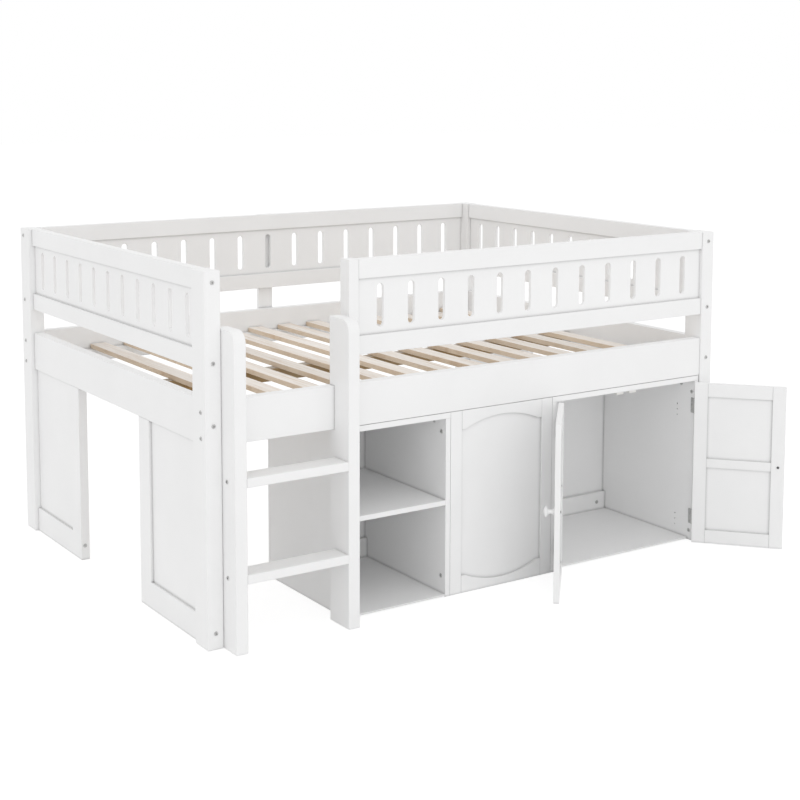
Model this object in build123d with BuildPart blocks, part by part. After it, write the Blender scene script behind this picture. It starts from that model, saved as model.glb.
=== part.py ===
from build123d import *
import math
import os

# Low loft bed: slatted deck on four posts, entry ladder, open shelves and a two-door cabinet.
# The origin is on the floor under the middle of the front left post, front toward -Y, up is +Z.
# Distances called "start" or "setback" run from the outer left or outer front face of the posts.

# Whole bed
bed_length = 1990
bed_width = 1456
bed_height = 1100
left = -bed_length / 2
front = -bed_width / 2

# Posts
post_width = 52.5
post_depth = 80.5
post_easing = 2.5

# Boards
rail_thickness = 32
board_easing = 1.2
fine_easing = 0.6
board_gap = 0.3

# Heights of the guard and the bed rails, stacked down from the top of the posts
top_rail_height = 59
slotted_panel_height = 173
guard_rail_height = 57
guard_gap = 84
bed_rail_height = 132

# Where the rails stand behind the faces of the posts
front_setback = 4
end_setback = 13
back_setback = 15

# Slotted guard panels
panel_thickness = 12
panel_recess = 10
slot_width = 24
slot_margin = 20.5
slot_end_sides = 5
end_slot_count = 11
end_slot_setback = 72.5
front_slot_count = 12
front_slot_setback = 83.25
back_slot_count = 15
back_slot_setback = 92

# Guard post at the entry and the board behind the middle of the back guard
guard_post_offset = 12.2
guard_post_width = 35
guard_post_depth = 50
guard_post_lap = 60
centre_board_width = 62
centre_board_thickness = 15

# Lower end panels
end_panel_width = 404
end_panel_thickness = 30
end_stile_width = 75
end_bottom_rail_height = 84
infill_thickness = 12
infill_recess = 9

# Slats with their ledgers and the centre beam
slat_count = 14
slat_setback = 93.3
slat_width = 60
slat_thickness = 17
slat_drop = 67
slat_end_gap = 0.5
ledger_thickness = 22
ledger_height = 40
beam_width = 40
beam_height = 44
bracket_thickness = 2
bracket_length = 40
bracket_cheek_height = 42

# Ladder
ladder_clear_width = 339
ladder_side_thickness = 39
ladder_reach = 75
ladder_rear = 32
ladder_drop = 166
ladder_corner_radius = 36
step_thickness = 27.5
lower_step_share = 0.317
upper_step_share = 0.704
step_depth = 75
step_easing = 2
step_bolt_setback = 28

# Cabinet
cabinet_board = 18
ladder_to_cabinet = 0.4
cabinet_to_post = 3.5
cabinet_to_rail = 1
cabinet_depth = 485
cabinet_back_thickness = 12
shelf_bay_share = 0.253
fixed_bay_share = 0.2964
floor_lift = 3
floor_thickness = 5
shelf_thickness = 16
shelf_share = 0.545
stretcher_height = 64
stretcher_thickness = 14
stretcher_bolt_setback = 40.7
stretcher_bolt_level = 36

# Framed front panel and doors
front_panel_thickness = 18
panel_side_gap = 0.8
front_stile_width = 44
joint_groove_width = 1.2
joint_groove_depth = 0.8
field_thickness = 4
field_setback = 7
field_lap = 8
arch_shoulder_drop = 61
arch_shoulder_bottom = 57.5
arch_rise = 31
arch_flat = 16
cleat_size = 20
door_clearance = 2
door_meeting_gap = 2
door_stile_width = 45
door_rail_height = 47
door_mid_rail_share = 0.504
door_mid_rail_height = 31
left_door_angle = -131.8
right_door_angle = 131.8

# Hinges
leaf_thickness = 1.2
leaf_gap = 0.3
leaf_width = 18
leaf_height = 53
leaf_setback = 86
pin_radius = 1.5
pin_running_gap = 0.05
knuckle_radius = 3
knuckle_sides = 12
knuckle_front_gap = 0.3
knuckle_count = 3
knuckle_end_gap = 0.3
leaf_tab_start = 2
leaf_plate_start = 3.6

# Knobs and catches
knob_sides = 16
knob_cap_radius = 18
knob_cap_height = 11
knob_crown_easing = 7
knob_reach = 34.5
knob_neck_radius = 7
knob_foot_radius = 11
knob_foot_height = 3
knob_edge_distance = 22
knob_screw_radius = 2.2
knob_screw_head_radius = 3.8
knob_screw_head_height = 1.2
knob_screw_bite = 12
catch_length = 30
catch_depth = 15
catch_height = 13
catch_spacing = 57
catch_shift = 10
catch_front_gap = 0.4

# Bolts
bolt_head_radius = 6.5
bolt_head_height = 2.4
bolt_head_sides = 10
bore_sides = 6
bolt_shank_radius = 3
bolt_clearance = 0.3
bolt_socket_radius = 2.9
bolt_socket_depth = 1.6
socket_sides = 6
bolt_bite = 30
bolt_stagger = 3.5
bed_bolt_drop = 4.7
bed_bolt_spread = 37.7
low_bolt_level = 49
bed_bolt_setback = 28
cabinet_low_bolt_level = 35.1
cabinet_high_bolt_drop = 40.2
cabinet_bolt_setback = 16
partition_low_bolt_level = 63.4
partition_high_bolt_drop = 45.2
partition_bolt_setback = 27.4
top_bolt_drop = 18
top_bolt_setback = 68
top_bolt_bite = 14
back_bolt_bite = 8
pilot_radius = 2.5
pilot_depth = 12
pilot_setback = 85.7
pilot_pitch = 20
pilot_drop = 27

# Derived levels
top_rail_bottom = bed_height - top_rail_height
guard_rail_top = top_rail_bottom - slotted_panel_height
guard_rail_bottom = guard_rail_top - guard_rail_height
bed_rail_top = guard_rail_bottom - guard_gap
bed_rail_bottom = bed_rail_top - bed_rail_height
slat_top = bed_rail_top - slat_drop
slat_bottom = slat_top - slat_thickness
ladder_height = bed_height - ladder_drop
step_tops = (bed_rail_top * lower_step_share, bed_rail_top * upper_step_share)
cabinet_top_bottom = bed_rail_bottom - cabinet_to_rail - cabinet_board
front_panel_top = bed_rail_bottom - cabinet_to_rail
floor_top = floor_lift + floor_thickness
shelf_top = cabinet_top_bottom * shelf_share
arch_shoulder_top = bed_rail_bottom - arch_shoulder_drop
door_bottom = door_clearance
door_top = cabinet_top_bottom - door_clearance
door_mid_rail_level = cabinet_top_bottom * door_mid_rail_share
knob_level = door_mid_rail_level
leaf_levels = (door_bottom + leaf_setback, door_top - leaf_setback)

# Bolt levels: where bolts along X and along Y meet in a post, they pass each other by the stagger
bed_bolt_level = (bed_rail_bottom + bed_rail_top) / 2 - bed_bolt_drop
guard_middle = (guard_rail_bottom + guard_rail_top) / 2
top_middle = (top_rail_bottom + bed_height) / 2
end_bolt_levels = (bed_bolt_level, guard_middle - bolt_stagger, top_middle - bolt_stagger)
side_bolt_levels = (guard_middle + bolt_stagger, top_middle + bolt_stagger)
bed_bolt_levels = (bed_bolt_level - bed_bolt_spread, bed_bolt_level + bed_bolt_spread)
cabinet_bolt_levels = (cabinet_low_bolt_level, cabinet_top_bottom - cabinet_high_bolt_drop)
partition_bolt_levels = (partition_low_bolt_level, cabinet_top_bottom - partition_high_bolt_drop)
top_bolt_level = cabinet_top_bottom - top_bolt_drop

# Derived places
rail_start = post_width
rail_end = bed_length - post_width
depth_start = post_depth
depth_end = bed_width - post_depth
shank_hole_radius = bolt_shank_radius + bolt_clearance
ladder_start = post_width + board_gap
ladder_end = ladder_start + 2 * ladder_side_thickness + ladder_clear_width
guard_post_start = ladder_end + guard_post_offset
cabinet_start = ladder_end + ladder_to_cabinet
cabinet_end = rail_end - cabinet_to_post
bays_width = cabinet_end - cabinet_start - 4 * cabinet_board
shelf_bay_width = bays_width * shelf_bay_share
fixed_bay_width = bays_width * fixed_bay_share
door_bay_width = bays_width - shelf_bay_width - fixed_bay_width
shelf_bay_start = cabinet_start + cabinet_board
shelf_bay_end = shelf_bay_start + shelf_bay_width
fixed_bay_start = shelf_bay_end + cabinet_board
fixed_bay_end = fixed_bay_start + fixed_bay_width
door_bay_start = fixed_bay_end + cabinet_board
door_bay_end = door_bay_start + door_bay_width
cabinet_inner_depth = cabinet_depth - cabinet_back_thickness
pin_setback = front_setback - knuckle_front_gap - knuckle_radius
pin_side_distance = leaf_thickness + leaf_gap / 2
door_side_gap = 2 * leaf_thickness + leaf_gap
door_width = (door_bay_width - 2 * door_side_gap - door_meeting_gap) / 2

# Pieces are drawn about the middle of the four posts, then moved to the part's origin
to_origin = Location((-left - post_width / 2, -front - post_depth / 2, 0))
pieces = {}


def across(start, end):
    return (left + start, left + end)


def deep(start, end):
    return (front + start, front + end)


def mirrored(span):
    return (-span[1], -span[0])


def middle(span):
    return (span[0] + span[1]) / 2


def keep(label, piece):
    moved = piece.part.moved(to_origin)
    moved.label = label
    pieces[label] = moved


def mouth(x, y, z, outward):
    return Plane(origin=(x, y, z), z_dir=outward)


# A straight board with eased edges and bores given as (mouth plane, radius, depth)
def board(x_span, y_span, z_span, easing=board_easing, bores=()):
    with BuildPart() as piece:
        with BuildSketch(Plane.XY.offset(z_span[0])):
            with Locations((middle(x_span), middle(y_span))):
                Rectangle(x_span[1] - x_span[0], y_span[1] - y_span[0])
        extrude(amount=z_span[1] - z_span[0])
        chamfer(piece.edges(), easing)
        for plane, radius, depth in bores:
            with BuildSketch(plane):
                RegularPolygon(radius, bore_sides)
            extrude(amount=-depth, mode=Mode.SUBTRACT)
    return piece


# Corners of an upright round-ended slot about its own centre, each round end in a few short sides
def slot_corners():
    radius = slot_width / 2
    end = slotted_panel_height / 2 - slot_margin - radius
    corners = []
    for index in range(slot_end_sides + 1):
        angle = math.pi * index / slot_end_sides
        corners.append((radius * math.cos(angle), end + radius * math.sin(angle)))
    return corners + [(-x, -y) for x, y in corners]


# A thin panel pierced by a row of slots; setback is from the panel's end to the first slot's centre
def slotted_panel(x_span, y_span, along_x, count, setback):
    base = Plane.XZ if along_x else Plane.YZ
    centre = (middle(x_span), middle(y_span), (guard_rail_top + top_rail_bottom) / 2)
    length = x_span[1] - x_span[0] if along_x else y_span[1] - y_span[0]
    pitch = (length - 2 * setback) / (count - 1)
    with BuildPart() as piece:
        with BuildSketch(Plane(origin=centre, x_dir=base.x_dir, z_dir=base.z_dir)):
            Rectangle(length, slotted_panel_height)
            with GridLocations(pitch, 0, count, 1):
                Polygon(*slot_corners(), mode=Mode.SUBTRACT)
        extrude(amount=panel_thickness / 2, both=True)
    return piece


# Posts, drilled for the bolts of the end rails, the long rails and the cabinet
left_post_x = across(0, post_width)
front_post_y = deep(0, post_depth)
end_rail_x = across(end_setback, end_setback + rail_thickness)
end_panel_x = across(end_setback, end_setback + end_panel_thickness)
front_rail_y = deep(front_setback, front_setback + rail_thickness)
back_rail_y = deep(bed_width - back_setback - rail_thickness, bed_width - back_setback)
full_height = (0, bed_height)

# Bolts that run along Y through a post into an end rail or an end panel
end_bolt_mouths = []
# Bolts that run along X through a post into a long rail
side_bolt_mouths = []


def post(label, at_right, at_back):
    x_span = mirrored(left_post_x) if at_right else left_post_x
    y_span = mirrored(front_post_y) if at_back else front_post_y
    x_sign = 1 if at_right else -1
    y_sign = 1 if at_back else -1
    outer_x = x_sign * bed_length / 2
    outer_y = y_sign * bed_width / 2
    levels = (*end_bolt_levels, low_bolt_level)
    along_y = [mouth(middle(x_span), outer_y, level, (0, y_sign, 0)) for level in levels]
    upper_y = middle(back_rail_y) if at_back else middle(front_rail_y)
    bed_y = middle(back_rail_y) if at_back else front + bed_bolt_setback
    along_x = [mouth(outer_x, bed_y, level, (x_sign, 0, 0)) for level in bed_bolt_levels]
    if at_back or at_right:
        along_x += [mouth(outer_x, upper_y, level, (x_sign, 0, 0)) for level in side_bolt_levels]
    bores = [(plane, shank_hole_radius, post_depth) for plane in along_y]
    bores += [(plane, shank_hole_radius, post_width) for plane in along_x]
    if at_right and not at_back:
        for level in cabinet_bolt_levels:
            start = mouth(x_span[0], front + cabinet_bolt_setback, level, (-1, 0, 0))
            bores.append((start, shank_hole_radius, bolt_bite))
    keep(label, board(x_span, y_span, full_height, post_easing, bores))
    end_bolt_mouths.extend(along_y)
    side_bolt_mouths.extend(along_x)


post("post_front_left", False, False)
post("post_front_right", True, False)
post("post_back_left", False, True)
post("post_back_right", True, True)


# Blind bores in the two ends of a rail, for the bolts at the given levels
def end_bores(x, y_span, levels):
    bores = []
    for level in levels:
        bores.append((mouth(x, y_span[0], level, (0, -1, 0)), shank_hole_radius, bolt_bite))
        bores.append((mouth(x, y_span[1], level, (0, 1, 0)), shank_hole_radius, bolt_bite))
    return bores


def side_bores(x_span, y, levels, both_ends=True):
    bores = []
    for level in levels:
        bores.append((mouth(x_span[1], y, level, (1, 0, 0)), shank_hole_radius, bolt_bite))
        if both_ends:
            bores.append((mouth(x_span[0], y, level, (-1, 0, 0)), shank_hole_radius, bolt_bite))
    return bores


top_rail_z = (top_rail_bottom, bed_height)
guard_rail_z = (guard_rail_bottom, guard_rail_top)
bed_rail_z = (bed_rail_bottom, bed_rail_top)
between_y = deep(depth_start, depth_end)
between_x = across(rail_start, rail_end)
bed_level, guard_level, top_level = end_bolt_levels
side_guard_level, side_top_level = side_bolt_levels

# Rails and slotted panels of the two ends
end_slots_x = across(end_setback + panel_recess, end_setback + panel_recess + panel_thickness)
for side in ("left", "right"):
    rail_x = end_rail_x if side == "left" else mirrored(end_rail_x)
    slots_x = end_slots_x if side == "left" else mirrored(end_slots_x)
    bolt_x = middle(left_post_x) if side == "left" else -middle(left_post_x)
    top_bores = end_bores(bolt_x, between_y, (top_level,))
    guard_bores = end_bores(bolt_x, between_y, (guard_level,))
    bed_bores = end_bores(bolt_x, between_y, (bed_level,))
    keep("top_rail_" + side, board(rail_x, between_y, top_rail_z, bores=top_bores))
    keep("guard_rail_" + side, board(rail_x, between_y, guard_rail_z, bores=guard_bores))
    keep("bed_rail_" + side, board(rail_x, between_y, bed_rail_z, bores=bed_bores))
    slots = slotted_panel(slots_x, between_y, False, end_slot_count, end_slot_setback)
    keep("slotted_panel_" + side, slots)

# Front rails, which leave the entry open beside the left post
guard_x = across(guard_post_start + guard_post_width, rail_end)
front_slots_y = deep(front_setback + panel_recess, front_setback + panel_recess + panel_thickness)
front_middle_y = middle(front_rail_y)
top_bores = side_bores(guard_x, front_middle_y, (side_top_level,), False)
guard_bores = side_bores(guard_x, front_middle_y, (side_guard_level,), False)
bed_bores = side_bores(between_x, front + bed_bolt_setback, bed_bolt_levels)
keep("top_rail_front", board(guard_x, front_rail_y, top_rail_z, bores=top_bores))
keep("guard_rail_front", board(guard_x, front_rail_y, guard_rail_z, bores=guard_bores))
keep("bed_rail_front", board(between_x, front_rail_y, bed_rail_z, bores=bed_bores))
slots = slotted_panel(guard_x, front_slots_y, True, front_slot_count, front_slot_setback)
keep("slotted_panel_front", slots)

# Back rails
back_slots_outer = bed_width - back_setback - panel_recess
back_slots_y = deep(back_slots_outer - panel_thickness, back_slots_outer)
back_middle_y = middle(back_rail_y)
top_bores = side_bores(between_x, back_middle_y, (side_top_level,))
guard_bores = side_bores(between_x, back_middle_y, (side_guard_level,))
bed_bores = side_bores(between_x, back_middle_y, bed_bolt_levels)
keep("top_rail_back", board(between_x, back_rail_y, top_rail_z, bores=top_bores))
keep("guard_rail_back", board(between_x, back_rail_y, guard_rail_z, bores=guard_bores))
keep("bed_rail_back", board(between_x, back_rail_y, bed_rail_z, bores=bed_bores))
slots = slotted_panel(between_x, back_slots_y, True, back_slot_count, back_slot_setback)
keep("slotted_panel_back", slots)

# Board that ties the middle of the back rails together on the outside
centre_x = (-centre_board_width / 2, centre_board_width / 2)
centre_y = deep(bed_width - centre_board_thickness, bed_width)
keep("back_centre_board", board(centre_x, centre_y, (bed_rail_bottom, bed_height)))

# Guard post: stands on the front bed rail and laps down behind it
guard_post_x = across(guard_post_start, guard_post_start + guard_post_width)
guard_back = front_setback + guard_post_depth
with BuildPart() as guard_post:
    with BuildSketch(Plane.YZ.offset(guard_post_x[0])):
        with BuildLine():
            Polyline(
                (front + front_setback, bed_height),
                (front + guard_back, bed_height),
                (front + guard_back, bed_rail_top - guard_post_lap),
                (front_rail_y[1], bed_rail_top - guard_post_lap),
                (front_rail_y[1], bed_rail_top),
                (front + front_setback, bed_rail_top),
                close=True,
            )
        make_face()
    extrude(amount=guard_post_width)
    chamfer(guard_post.edges().filter_by(Axis.Z), board_easing)
    chamfer(guard_post.faces().sort_by(Axis.Z)[-1].edges(), fine_easing)
keep("guard_post", guard_post)


# Lower end panel: bottom rail and free-side stile in one frame, with a thin recessed infill
def end_panel_frame(at_right, at_back):
    x_span = mirrored(end_panel_x) if at_right else end_panel_x
    post_side = depth_start
    free_side = post_side + end_panel_width
    y_sign = -1 if at_back else 1
    corners = (
        (post_side, 0),
        (free_side, 0),
        (free_side, bed_rail_bottom),
        (free_side - end_stile_width, bed_rail_bottom),
        (free_side - end_stile_width, end_bottom_rail_height),
        (post_side, end_bottom_rail_height),
    )
    with BuildPart() as frame:
        with BuildSketch(Plane.YZ.offset(x_span[0])):
            with BuildLine():
                Polyline([(y_sign * (front + y), z) for y, z in corners], close=True)
            make_face()
        extrude(amount=end_panel_thickness)
        chamfer(frame.faces().filter_by(Axis.X).edges(), fine_easing)
        bolt_x = -middle(left_post_x) if at_right else middle(left_post_x)
        post_mouth = mouth(bolt_x, y_sign * (front + post_side), low_bolt_level, (0, -y_sign, 0))
        free_mouth = mouth(bolt_x, y_sign * (front + free_side), low_bolt_level, (0, y_sign, 0))
        for plane in (post_mouth, free_mouth):
            with BuildSketch(plane):
                RegularPolygon(shank_hole_radius, bore_sides)
            extrude(amount=-bolt_bite, mode=Mode.SUBTRACT)
    free_bolt_mouths.append(free_mouth)
    return frame


free_bolt_mouths = []
infill_x = across(end_setback + infill_recess, end_setback + infill_recess + infill_thickness)
infill_y = deep(depth_start, depth_start + end_panel_width - end_stile_width)
infill_z = (end_bottom_rail_height, bed_rail_bottom)
for side in ("left", "right"):
    for depth in ("front", "back"):
        label = depth + "_" + side
        frame = end_panel_frame(side == "right", depth == "back")
        keep("end_panel_frame_" + label, frame)
with BuildPart() as infills:
    for x_span in (infill_x, mirrored(infill_x)):
        for y_span in (infill_y, mirrored(infill_y)):
            with BuildSketch(Plane.XY.offset(infill_z[0])):
                with Locations((middle(x_span), middle(y_span))):
                    Rectangle(infill_thickness, y_span[1] - y_span[0])
            extrude(amount=infill_z[1] - infill_z[0])
keep("end_panel_infills", infills)

# Ledgers along the inner faces of the two long bed rails, which carry the slats
ledger_z = (slat_bottom - ledger_height, slat_bottom)
front_ledger_y = (front_rail_y[1], front_rail_y[1] + ledger_thickness)
back_ledger_y = (back_rail_y[0] - ledger_thickness, back_rail_y[0])
with BuildPart() as ledgers:
    add(board(between_x, front_ledger_y, ledger_z).part)
    add(board(between_x, back_ledger_y, ledger_z).part)
keep("slat_ledgers", ledgers)

# Pine slats
slat_length = back_rail_y[0] - front_rail_y[1] - 2 * slat_end_gap
slat_middle_y = (front_rail_y[1] + back_rail_y[0]) / 2
inner_x = across(end_setback + rail_thickness, bed_length - end_setback - rail_thickness)
slat_pitch = (inner_x[1] - inner_x[0] - 2 * slat_setback) / (slat_count - 1)
with BuildPart() as slats:
    with BuildSketch(Plane.XY.offset(slat_bottom)):
        with Locations((0, slat_middle_y)):
            with GridLocations(slat_pitch, 0, slat_count, 1):
                Rectangle(slat_width, slat_length)
    extrude(amount=slat_thickness)
    chamfer(slats.edges().filter_by(Axis.Y), board_easing)
keep("slats", slats)

# Centre beam in a steel bracket at each end
beam_z = (slat_bottom - beam_height, slat_bottom)
beam_start = inner_x[0] + bracket_thickness + board_gap
keep("centre_beam", board((beam_start, -beam_start), (-beam_width / 2, beam_width / 2), beam_z))
bracket_inner = beam_width + 2 * board_gap
bracket_outer = bracket_inner + 2 * bracket_thickness
with BuildPart() as beam_bracket:
    with BuildSketch(Plane.XY.offset(beam_z[0] - bracket_thickness)):
        with Locations((inner_x[0] + bracket_length / 2, 0)):
            Rectangle(bracket_length, bracket_outer)
    extrude(amount=bracket_cheek_height)
    with BuildSketch(Plane.XY.offset(beam_z[0])):
        with Locations((inner_x[0] + bracket_thickness + bracket_length / 2, 0)):
            Rectangle(bracket_length, bracket_inner)
    extrude(amount=bracket_cheek_height, mode=Mode.SUBTRACT)
with BuildPart() as beam_brackets:
    add(beam_bracket.part)
    mirror(beam_bracket.part, about=Plane.YZ)
keep("beam_brackets", beam_brackets)

# Ladder sides, notched round the front bed rail
ladder_left_x = across(ladder_start, ladder_start + ladder_side_thickness)
ladder_right_start = ladder_start + ladder_side_thickness + ladder_clear_width
ladder_right_x = across(ladder_right_start, ladder_right_start + ladder_side_thickness)
ladder_front = front - ladder_reach
ladder_back = front + ladder_rear
notch_front = front + front_setback
step_levels = [top - step_thickness / 2 for top in step_tops]
step_bolt_y = front - step_bolt_setback
ladder_bolt_mouths = []
for level in step_levels:
    ladder_bolt_mouths.append(mouth(ladder_left_x[0], step_bolt_y, level, (-1, 0, 0)))
    ladder_bolt_mouths.append(mouth(ladder_right_x[1], step_bolt_y, level, (1, 0, 0)))


def ladder_side(x_span):
    with BuildPart() as side:
        with BuildSketch(Plane.YZ.offset(x_span[0])):
            with BuildLine():
                Polyline(
                    (ladder_front, 0),
                    (ladder_back, 0),
                    (ladder_back, bed_rail_bottom - board_gap),
                    (notch_front, bed_rail_bottom - board_gap),
                    (notch_front, bed_rail_top + board_gap),
                    (ladder_back, bed_rail_top + board_gap),
                    (ladder_back, ladder_height),
                    (ladder_front, ladder_height),
                    close=True,
                )
            outline = make_face()
            top_corner = outline.vertices().group_by(Axis.Y)[-1].sort_by(Axis.X)[0]
            fillet(top_corner, ladder_corner_radius)
        extrude(amount=ladder_side_thickness)
        chamfer(side.faces().filter_by(Axis.X).edges(), board_easing)
        for level in step_levels:
            with BuildSketch(mouth(x_span[1], step_bolt_y, level, (1, 0, 0))):
                RegularPolygon(shank_hole_radius, bore_sides)
            extrude(amount=-ladder_side_thickness, mode=Mode.SUBTRACT)
    return side


keep("ladder_side_left", ladder_side(ladder_left_x))
keep("ladder_side_right", ladder_side(ladder_right_x))

# Ladder steps
step_x = (ladder_left_x[1], ladder_right_x[0])
with BuildPart() as ladder_steps:
    for top in step_tops:
        with BuildSketch(Plane.YZ.offset(step_x[0])):
            with Locations((front - step_depth / 2, top - step_thickness / 2)):
                Rectangle(step_depth, step_thickness)
        extrude(amount=ladder_clear_width)
    chamfer(ladder_steps.edges().filter_by(Axis.X), step_easing)
    for level in step_levels:
        step_ends = [
            mouth(step_x[0], step_bolt_y, level, (-1, 0, 0)),
            mouth(step_x[1], step_bolt_y, level, (1, 0, 0)),
        ]
        for plane in step_ends:
            with BuildSketch(plane):
                RegularPolygon(shank_hole_radius, bore_sides)
            extrude(amount=-bolt_bite, mode=Mode.SUBTRACT)
keep("ladder_steps", ladder_steps)

# Cabinet sides and partitions
cabinet_y = deep(front_setback, cabinet_inner_depth)
upright_z = (0, cabinet_top_bottom)
partition_mouths_left = []
partition_mouths_right = []
for level in partition_bolt_levels:
    bolt_y = front + partition_bolt_setback
    partition_mouths_left.append(mouth(left + shelf_bay_end, bolt_y, level, (-1, 0, 0)))
    partition_mouths_right.append(mouth(left + door_bay_start, bolt_y, level, (1, 0, 0)))
cabinet_mouths = []
for level in cabinet_bolt_levels:
    cabinet_mouths.append(mouth(left + door_bay_end, front + cabinet_bolt_setback, level, (-1, 0, 0)))
top_mouths = []
for x in (left + shelf_bay_end, left + door_bay_end):
    top_mouths.append(mouth(x, front + top_bolt_setback, top_bolt_level, (-1, 0, 0)))
pilot_mouths = []
for leaf_level in leaf_levels:
    for step in (-1, 0, 1):
        level = leaf_level - pilot_drop + step * pilot_pitch
        pilot_mouths.append(mouth(left + door_bay_end, front + pilot_setback, level, (-1, 0, 0)))
side_bores = [(plane, shank_hole_radius, cabinet_board) for plane in cabinet_mouths]
side_bores += [(plane, pilot_radius, pilot_depth) for plane in pilot_mouths]
side_bores.append((top_mouths[1], shank_hole_radius, top_bolt_bite + board_gap))
left_bores = [(plane, shank_hole_radius, cabinet_board) for plane in partition_mouths_left]
left_bores.append((top_mouths[0], shank_hole_radius, top_bolt_bite + board_gap))
right_bores = [(plane, shank_hole_radius, cabinet_board) for plane in partition_mouths_right]
uprights = (
    ("cabinet_side_left", cabinet_start, ()),
    ("cabinet_partition_left", shelf_bay_end, left_bores),
    ("cabinet_partition_right", fixed_bay_end, right_bores),
    ("cabinet_side_right", door_bay_end, side_bores),
)
for label, start, bores in uprights:
    x_span = across(start, start + cabinet_board)
    keep(label, board(x_span, cabinet_y, upright_z, fine_easing, bores))

# Cabinet top, cut back where the fixed front panel rises to the bed rail
fixed_x = across(fixed_bay_start, fixed_bay_end)
panel_back = front_setback + front_panel_thickness
top_middle_x = middle(across(cabinet_start, cabinet_end))
with BuildPart() as cabinet_top:
    with BuildSketch(Plane.XY.offset(cabinet_top_bottom)):
        with Locations((top_middle_x, middle(deep(front_setback, cabinet_depth)))):
            Rectangle(cabinet_end - cabinet_start, cabinet_depth - front_setback)
        with Locations((middle(fixed_x), middle(deep(front_setback, panel_back)))):
            Rectangle(fixed_bay_width, front_panel_thickness, mode=Mode.SUBTRACT)
    extrude(amount=cabinet_board)
keep("cabinet_top", cabinet_top)

# Cabinet floors, shelf, back and low stretchers
shelf_x = across(shelf_bay_start, shelf_bay_end)
door_x = across(door_bay_start, door_bay_end)
floor_z = (floor_lift, floor_top)
keep("cabinet_floor_open_bay", board(shelf_x, cabinet_y, floor_z, fine_easing))
closed_floor_y = deep(panel_back + board_gap, cabinet_inner_depth)
with BuildPart() as closed_floors:
    for x_span in (fixed_x, door_x):
        with BuildSketch(Plane.XY.offset(floor_lift)):
            with Locations((middle(x_span), middle(closed_floor_y))):
                Rectangle(x_span[1] - x_span[0], closed_floor_y[1] - closed_floor_y[0])
        extrude(amount=floor_thickness)
keep("cabinet_floor_closed_bays", closed_floors)
keep("cabinet_shelf", board(shelf_x, cabinet_y, (shelf_top - shelf_thickness, shelf_top), fine_easing))
back_y = deep(cabinet_inner_depth, cabinet_depth)
stretcher_y = deep(cabinet_inner_depth - stretcher_thickness, cabinet_inner_depth)
stretcher_z = (floor_top, floor_top + stretcher_height)
stretcher_mouths = []
for x_span in (shelf_x, door_x):
    for x in (x_span[0] + stretcher_bolt_setback, x_span[1] - stretcher_bolt_setback):
        stretcher_mouths.append(mouth(x, stretcher_y[0], stretcher_bolt_level, (0, -1, 0)))
with BuildPart() as stretchers:
    for x_span in (shelf_x, door_x):
        with BuildSketch(Plane.XY.offset(stretcher_z[0])):
            with Locations((middle(x_span), middle(stretcher_y))):
                Rectangle(x_span[1] - x_span[0], stretcher_thickness)
        extrude(amount=stretcher_height)
    for plane in stretcher_mouths:
        with BuildSketch(plane):
            RegularPolygon(shank_hole_radius, bore_sides)
        extrude(amount=-stretcher_thickness, mode=Mode.SUBTRACT)
keep("cabinet_stretchers", stretchers)
back_bores = []
for plane in stretcher_mouths:
    back_bores.append((plane.offset(-stretcher_thickness), shank_hole_radius, back_bolt_bite))
keep("cabinet_back", board(across(cabinet_start, cabinet_end), back_y, upright_z, fine_easing, back_bores))


# An opening with an arch at its top and bottom; the plane is centred on the opening's middle line
def arched_outline(width, bottom, top, rise, flat):
    half = width / 2
    turn = half - flat
    with BuildLine() as outline:
        Line((-half, bottom), (-half, top))
        Line((-half, top), (-turn, top))
        ThreePointArc((-turn, top), (0, top + rise), (turn, top))
        Line((turn, top), (half, top))
        Line((half, top), (half, bottom))
        Line((half, bottom), (turn, bottom))
        ThreePointArc((turn, bottom), (0, bottom - rise), (-turn, bottom))
        Line((-turn, bottom), (-half, bottom))
    return outline.line


# Two upright grooves along the ends of the rails, where they meet the stiles
def joint_grooves(opening_width, height):
    x = (opening_width - joint_groove_width) / 2
    with Locations((-x, height / 2), (x, height / 2)):
        Rectangle(joint_groove_width, height)


# Fixed front panel with arched field
fixed_width = fixed_bay_width - 2 * panel_side_gap
fixed_field_width = fixed_bay_width - 2 * front_stile_width
front_plane = Plane(origin=(middle(fixed_x), front + front_setback, 0), x_dir=(1, 0, 0), z_dir=(0, -1, 0))
field_plane = front_plane.offset(-field_setback)
fixed_outline = arched_outline(
    fixed_field_width, arch_shoulder_bottom, arch_shoulder_top, arch_rise, arch_flat
)
field_span = (
    arch_shoulder_bottom - arch_rise - field_lap,
    arch_shoulder_top + arch_rise + field_lap,
)
with BuildPart() as fixed_frame:
    with BuildSketch(front_plane):
        with Locations((0, front_panel_top / 2)):
            Rectangle(fixed_width, front_panel_top)
    extrude(amount=-front_panel_thickness)
    chamfer(fixed_frame.faces().sort_by(Axis.Y)[0].edges(), fine_easing)
    with BuildSketch(front_plane):
        joint_grooves(fixed_field_width, front_panel_top)
    extrude(amount=-joint_groove_depth, mode=Mode.SUBTRACT)
    with BuildSketch(front_plane):
        make_face(fixed_outline.edges())
    extrude(amount=-front_panel_thickness, mode=Mode.SUBTRACT)
    with BuildSketch(field_plane):
        with Locations((0, middle(field_span))):
            Rectangle(fixed_field_width + 2 * field_lap, field_span[1] - field_span[0])
    extrude(amount=-field_thickness, mode=Mode.SUBTRACT)
keep("fixed_panel_frame", fixed_frame)
with BuildPart() as fixed_field:
    with BuildSketch(field_plane):
        with Locations((0, middle(field_span))):
            Rectangle(fixed_field_width + 2 * field_lap, field_span[1] - field_span[0])
    extrude(amount=-field_thickness)
keep("fixed_panel_field", fixed_field)

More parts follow.
